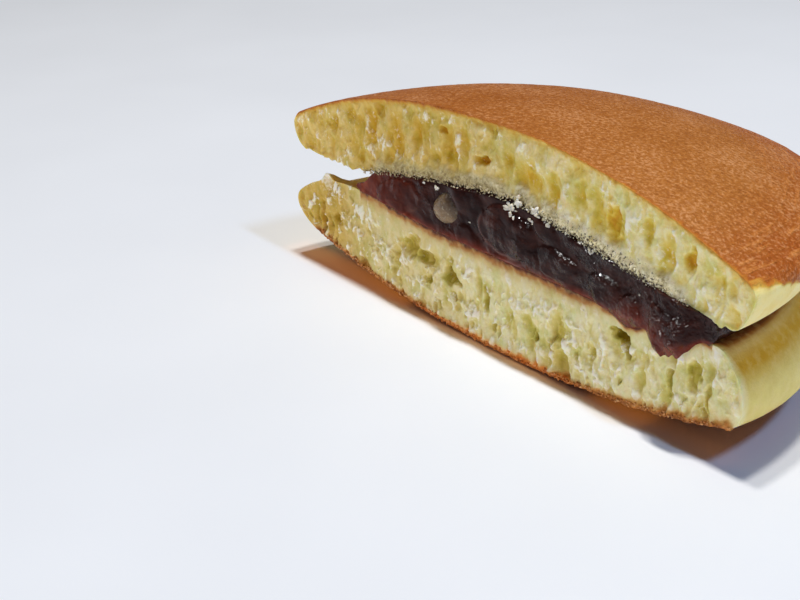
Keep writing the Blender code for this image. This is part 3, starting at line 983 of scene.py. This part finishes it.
def skin_colour(shader, wrinkles, skin_mid, skin_rim):
    """The browned skin: redder at the rim, with soft patches, fine wrinkles, darker specks and pale specks
    painted as glints.
    """
    spread, grain, blend = shader.spread, shader.grain, shader.blend
    skin = blend(shader.values("inward"), skin_rim, skin_mid)
    patches = spread(grain(0.011, 3), 0.35, 0.65)
    skin = blend(shader.times(patches, 0.35), skin, (183, 114, 46))
    skin = blend(shader.values("gold"), skin, (228, 204, 150), "MULTIPLY")
    skin = blend(wrinkles, skin, (218, 138, 66))
    mottle = grain(0.001, 4, 0.8)
    skin = blend(spread(mottle, 0.36, 0.52, 0.32, 0), skin, (140, 75, 25))
    skin = blend(spread(mottle, 0.52, 0.68, 0, 0.32), skin, (212, 140, 70))
    speckle = shader.add(grain(0.0005, 3, 0.65), spread(patches, 0, 1, -0.06, 0.05))
    # Pale specks painted as glints.
    skin = blend(spread(speckle, 0.5, 0.68, 0, 0.45), skin, (238, 176, 126))
    return blend(spread(speckle, 0.34, 0.46, 0.35, 0), skin, (136, 69, 22))


def sponge_material(name, crumb_stops, rim_stops, edge_stops, skin_mid, skin_rim):
    """Crumb, pale rim and browned skin in one, led by the values kept on the vertices."""
    shader = Shader(name)
    spread, grain, values, blend, add = shader.spread, shader.grain, shader.values, shader.blend, shader.add
    # Flake white with fine noise: partly pale torn walls, partly painted highlight.
    fine = spread(grain(0.00045, 3, 0.65), 0.48, 0.7, -0.25, 0.3)
    fleck = spread(add(shader.times(values("fleck"), 1.1), fine), 0.1, 0.8, 0, 0.92)
    rim = shader.colours(grain(0.0022, 4, 0.6), rim_stops)
    # On the lower cake this also darkens the rim's top in the gap: painted shade.
    rim = blend(values("gold"), rim, (224, 188, 98), "MULTIPLY")
    pale = crushed_colour(shader, blend(values("cut"), rim, crumb_colour(shader, fleck, crumb_stops)))
    pale = blend(spread(values("soak"), 0.04, 0.5), pale, shader.colours(values("soak"), SOAKED))

    frayed = shader.times(values("fringe"), spread(grain(0.0009, 4, 0.6), 0.35, 0.65, 0.1, 0.62))
    ragged = add(values("crust"), spread(grain(0.0011, 3), 0.3, 0.7, -0.08, 0.08))
    ragged = shader.maths("SUBTRACT", ragged, frayed)
    wrinkles = spread(values("inward"), 0.2, 1, 0.75, 0)
    wrinkles = shader.times(spread(shader.rings(0.0008, 0.005), 0.5, 0.66), wrinkles)
    skin = skin_colour(shader, wrinkles, skin_mid, skin_rim)
    skin = blend(spread(ragged, 0.62, 0.95), shader.colours(ragged, edge_stops), skin)
    browned = spread(ragged, 0, 0.3)

    leather = add(shader.times(shader.pebbles(0.0006), 0.6), grain(0.0005, 4, 0.7))
    skin_normal = shader.bump(add(leather, shader.times(wrinkles, 0.8)), 0.0003, 0.9)
    crumb_normal = shader.bump(grain(0.0004, 3, 0.6), 0.00018, 0.6)
    closed = add(browned, shader.times(values("crushed"), 0.8))
    shader.set(
        Base_Color=blend(browned, pale, skin),
        Normal=shader.blend_normals(browned, crumb_normal, skin_normal),
        Roughness=shader.maths("SUBTRACT", spread(browned, 0, 1, 0.6, 0.42), shader.times(fleck, 0.25)),
        Specular_IOR_Level=0.15,
        Subsurface_Weight=spread(closed, 0, 1, 0.55, 0),
        Subsurface_Radius=(1, 0.75, 0.3),
        Subsurface_Scale=0.0013,
    )
    return shader.material


SKIN_EDGE = ((0, 236, 210, 118), (0.3, 222, 176, 76), (0.55, 200, 126, 44), (0.8, 178, 92, 24),
             (1, 166, 78, 16))
BOTTOM_EDGE = ((0, 228, 206, 140), (0.3, 222, 172, 98), (0.55, 208, 136, 70), (1, 176, 106, 50))
SOAKED = ((0, 228, 214, 160), (0.3, 210, 180, 116), (0.6, 178, 122, 66), (0.85, 122, 72, 44),
          (1, 84, 46, 34))
RIM = ((0.3, 244, 222, 140), (0.5, 250, 232, 162), (0.72, 252, 240, 182))
LOWER_RIM = ((0.3, 226, 204, 118), (0.5, 232, 212, 128), (0.72, 237, 219, 138))


def upper_material():
    crumb = ((0, 252, 246, 218), (0.2, 247, 234, 176), (0.42, 238, 216, 124), (0.7, 228, 194, 70),
             (1, 214, 154, 40))
    return sponge_material("upper_sponge", crumb, RIM, SKIN_EDGE, (180, 111, 46), (168, 80, 16))


def lower_material():
    crumb = ((0, 244, 236, 206), (0.2, 238, 228, 180), (0.42, 226, 210, 134), (0.7, 206, 188, 90),
             (1, 172, 146, 48))
    return sponge_material("lower_sponge", crumb, LOWER_RIM, BOTTOM_EDGE, (146, 84, 38), (146, 84, 38))


def paste_material():
    """Dark wet skins, red where the paste is thin, gritty and more glossy towards the right, with a painted
    highlight along the big bean's torn skin.
    """
    shader = Shader("bean_paste")
    spread, grain, blend, times = shader.spread, shader.grain, shader.blend, shader.times
    skins = shader.colours(grain(0.003, 4, 0.6, (0.7, 1, 1.5)), (
        (0.3, 30, 13, 12), (0.5, 44, 21, 18), (0.75, 74, 42, 36)))
    red = shader.colours(grain(0.002, 3), (
        (0.3, 82, 26, 15), (0.6, 114, 46, 30), (0.8, 146, 74, 50)))
    colour = blend(shader.values("thin"), skins, red)
    patches = spread(grain(0.005, 2), 0.48, 0.66)
    right = shader.along_x(0.008, 0.03)
    grit = times(grain(0.0015, 3, 0.55), shader.add(patches, right))
    shader.set(
        # A pale line along the big bean's torn skin: painted highlight.
        Base_Color=blend(times(shader.values("fold"), 0.55), colour, (150, 110, 104)),
        Normal=shader.bump(grit, 0.0009, 0.7),
        Roughness=spread(grain(0.0014, 3), 0.35, 0.65, 0.08, 0.26),
        Coat_Weight=times(spread(right, 0, 1, 0.03, 0.36), patches),
        Coat_Roughness=0.07,
        Specular_IOR_Level=spread(shader.along_x(-0.02, 0.025), 0, 1, 0.05, 0.12),
        Subsurface_Weight=0.1,
        Subsurface_Radius=(0.7, 0.3, 0.2),
        Subsurface_Scale=0.0012,
    )
    return shader.material


def bean_material():
    """A pale skin speckled with painted highlights, veiled by paste at one side."""
    shader = Shader("bean_skin")
    spread, grain, blend = shader.spread, shader.grain, shader.blend
    bare = shader.colours(grain(0.0018, 3), (
        (0.3, 112, 90, 64), (0.55, 136, 112, 82), (0.78, 170, 146, 112)))
    # Near-white specks: painted highlights.
    bare = blend(spread(grain(0.00045, 2), 0.6, 0.72, 0, 0.6), bare, (206, 198, 172))
    shader.set(
        Base_Color=blend(shader.values("veil"), bare, (50, 34, 26)),
        Normal=shader.bump(grain(0.0007, 3), 0.0003, 0.6),
        Roughness=spread(grain(0.0008), 0.35, 0.65, 0.15, 0.35),
        Specular_IOR_Level=0.26,
        Subsurface_Weight=0.7,
        Subsurface_Radius=(1, 0.75, 0.45),
        Subsurface_Scale=0.0022,
    )
    return shader.material


def crumb_material(name, weight, stops, left_stops=None):
    """Loose crumbs of mixed tones. They may be darker towards the left."""
    shader = Shader(name)
    tone = shader.grain(0.0007, 3, 0.6)
    colour = shader.colours(tone, stops)
    if left_stops:
        colour = shader.blend(shader.along_x(-0.008, 0.022), shader.colours(tone, left_stops), colour)
    shader.set(
        Base_Color=colour,
        Normal=shader.bump(shader.grain(0.0003, 3), 0.0001, 0.6),
        Roughness=0.6,
        Subsurface_Weight=weight,
        Subsurface_Radius=(1, 0.7, 0.4),
        Subsurface_Scale=0.0008,
    )
    return shader.material


# --- Floor, light and camera ---

def make_floor():
    bpy.ops.mesh.primitive_plane_add(size=6)
    floor = fresh("floor")
    shader = Shader("floor_white")
    white = shader.colours(shader.grain(0.05, 2), ((0.3, 236, 237, 239), (0.7, 240, 241, 243)))
    shader.set(Base_Color=white, Roughness=0.5)
    floor.data.materials.append(shader.material)
    bpy.data.collections["table"].objects.link(floor)


def area_light(name, shape, size, place, aim, power, colour, glossy=True, only=None, through=None):
    """A lamp aimed at a place. It may light only one collection, and shine through all but another."""
    data = bpy.data.lights.new(name, "AREA")
    data.shape = shape
    data.size = size[0]
    data.size_y = size[1]
    data.energy = power
    data.color = colour
    lamp = bpy.data.objects.new(name, data)
    bpy.context.scene.collection.objects.link(lamp)
    lamp.location = place
    lamp.rotation_euler = (Vector(aim) - Vector(place)).to_track_quat("-Z", "Y").to_euler()
    lamp.visible_glossy = glossy
    lamp.visible_camera = False
    if only:
        lamp.light_linking.receiver_collection = bpy.data.collections[only]
    if through:
        lamp.light_linking.blocker_collection = bpy.data.collections[through]
    return lamp


GLOWS = (("glow_tip", -0.053, -0.0498, 0.000008), ("glow_left", -0.0498, 0.014, 0.00031),
         ("glow_centre", -0.016, 0.018, 0.00007), ("glow_middle", 0.014, 0.032, 0.00006),
         ("glow_right", 0.032, 0.046, 0.00001))


def under_light(name, size, x, behind_cut, height, power):
    """Brown light that falls straight down from below the cake and passes through all but the table."""
    place = (x, CUT_Y + behind_cut, height)
    area_light(name, "RECTANGLE", size, place, (*place[:2], 0), power, (1, 0.3, 0.02), glossy=False,
               through="table")


def make_light():
    """Two small lamps almost straight above, a bluish lamp high on the right, fills and a dim room."""
    world = bpy.data.worlds.new("dim_room")
    bpy.context.scene.world = world
    world.use_nodes = True
    background = world.node_tree.nodes["Background"]
    background.inputs["Color"].default_value = (0.96, 0.95, 1, 1)
    background.inputs["Strength"].default_value = 0.07
    middle = (0, 0, 0.02)
    warm = (1, 0.975, 0.93)
    area_light("lamp_near", "DISK", (0.045, 0.045), (0.019, 0.006, 0.8), middle, 3.05, warm)
    area_light("lamp_left", "DISK", (0.045, 0.045), (-0.061, 0.002, 0.8), middle, 2.3, warm)
    area_light("lamp_right", "ELLIPSE", (0.05, 0.16), (0.51, 0.018, 0.8), middle, 2.62, (0.41, 0.62, 1))
    area_light("front_fill", "RECTANGLE", (1.2, 0.5), (-0.2, -1.1, 0.2), middle, 3.1, (1, 0.98, 0.95),
               glossy=False, only="cake")
    sparkle = area_light("sparkle", "DISK", (0.024, 0.024), (-0.26, -0.6, 0.46), middle, 7,
                         (1, 1, 1), only="wet")
    sparkle.visible_diffuse = False
    sparkle.visible_transmission = False
    area_light("side_fill", "RECTANGLE", (0.8, 0.4), (1.05, -0.35, 0.12), middle, 3, (1, 0.97, 0.9),
               glossy=False, only="cake")

    # Light thrown back by what stands on the left, and brown light from the cake's own underside.
    area_light("left_bounce", "RECTANGLE", (0.06, 0.03), (-0.088, -0.058, 0.018), (-0.03, -0.018, 0),
               0.008, (1, 0.94, 0.8), glossy=False, only="cake")
    for name, left, right, power in GLOWS:
        under_light(name, (right - left, 0.0052), 0.5 * (left + right), 0.0014, 0.0012, power)
    under_light("rim_glow", (0.006, 0.03), 0.0435, 0.014, 0.004, 0.00003)


def make_camera():
    """Eye level a little above the half, looking at its cut from the right."""
    azimuth, elevation, roll = math.radians(52.955), math.radians(24.375), math.radians(-1.692)
    distance = 0.18956
    target = (MIDDLE_X + 0.0039, CUT_Y - 0.01936, 0.015)
    data = bpy.data.cameras.new("camera")
    data.sensor_width = 36
    data.lens = 63
    data.clip_start = 0.01
    camera = bpy.data.objects.new("camera", data)
    bpy.context.scene.collection.objects.link(camera)
    turn = Matrix.Rotation(azimuth, 4, "Z") @ Matrix.Rotation(math.pi / 2 - elevation, 4, "X")
    turn = turn @ Matrix.Rotation(roll, 4, "Z")
    camera.matrix_world = Matrix.Translation(target) @ turn @ Matrix.Translation((0, 0, distance))
    bpy.context.scene.camera = camera


CRUSHED = ((0.38, 74, 56, 46), (0.46, 206, 194, 152), (0.75, 248, 244, 230))
CRUSHED_LEFT = ((0.34, 96, 74, 56), (0.46, 182, 160, 122), (0.72, 228, 214, 178))
WHITE = ((0.3, 214, 202, 180), (0.6, 250, 242, 226))
BROWNED = ((0.3, 140, 78, 36), (0.5, 206, 134, 70), (0.72, 236, 190, 136))


def main():
    for name in ("cake", "table", "wet"):
        bpy.data.collections.new(name)
    make_camera()
    make_floor()
    make_light()
    bpy.context.scene.view_settings.view_transform = "Standard"
    make_upper_cake(upper_material())
    make_lower_cake(lower_material())
    make_paste(paste_material())
    make_bean(bean_material())
    crushed = crumb_material("crushed_crumb", 0.2, CRUSHED, CRUSHED_LEFT)
    white = crumb_material("white_crumb", 0.3, WHITE)
    browned = crumb_material("browned_crumb", 0.1, BROWNED)
    crumb_heap("crushed_crumbs", crushed_places(), crushed, 3)
    crumb_heap("fallen_crumbs", fallen_places(), white, 4)
    crumb_heap("browned_crumbs", crust_places(), browned, 6)


main()
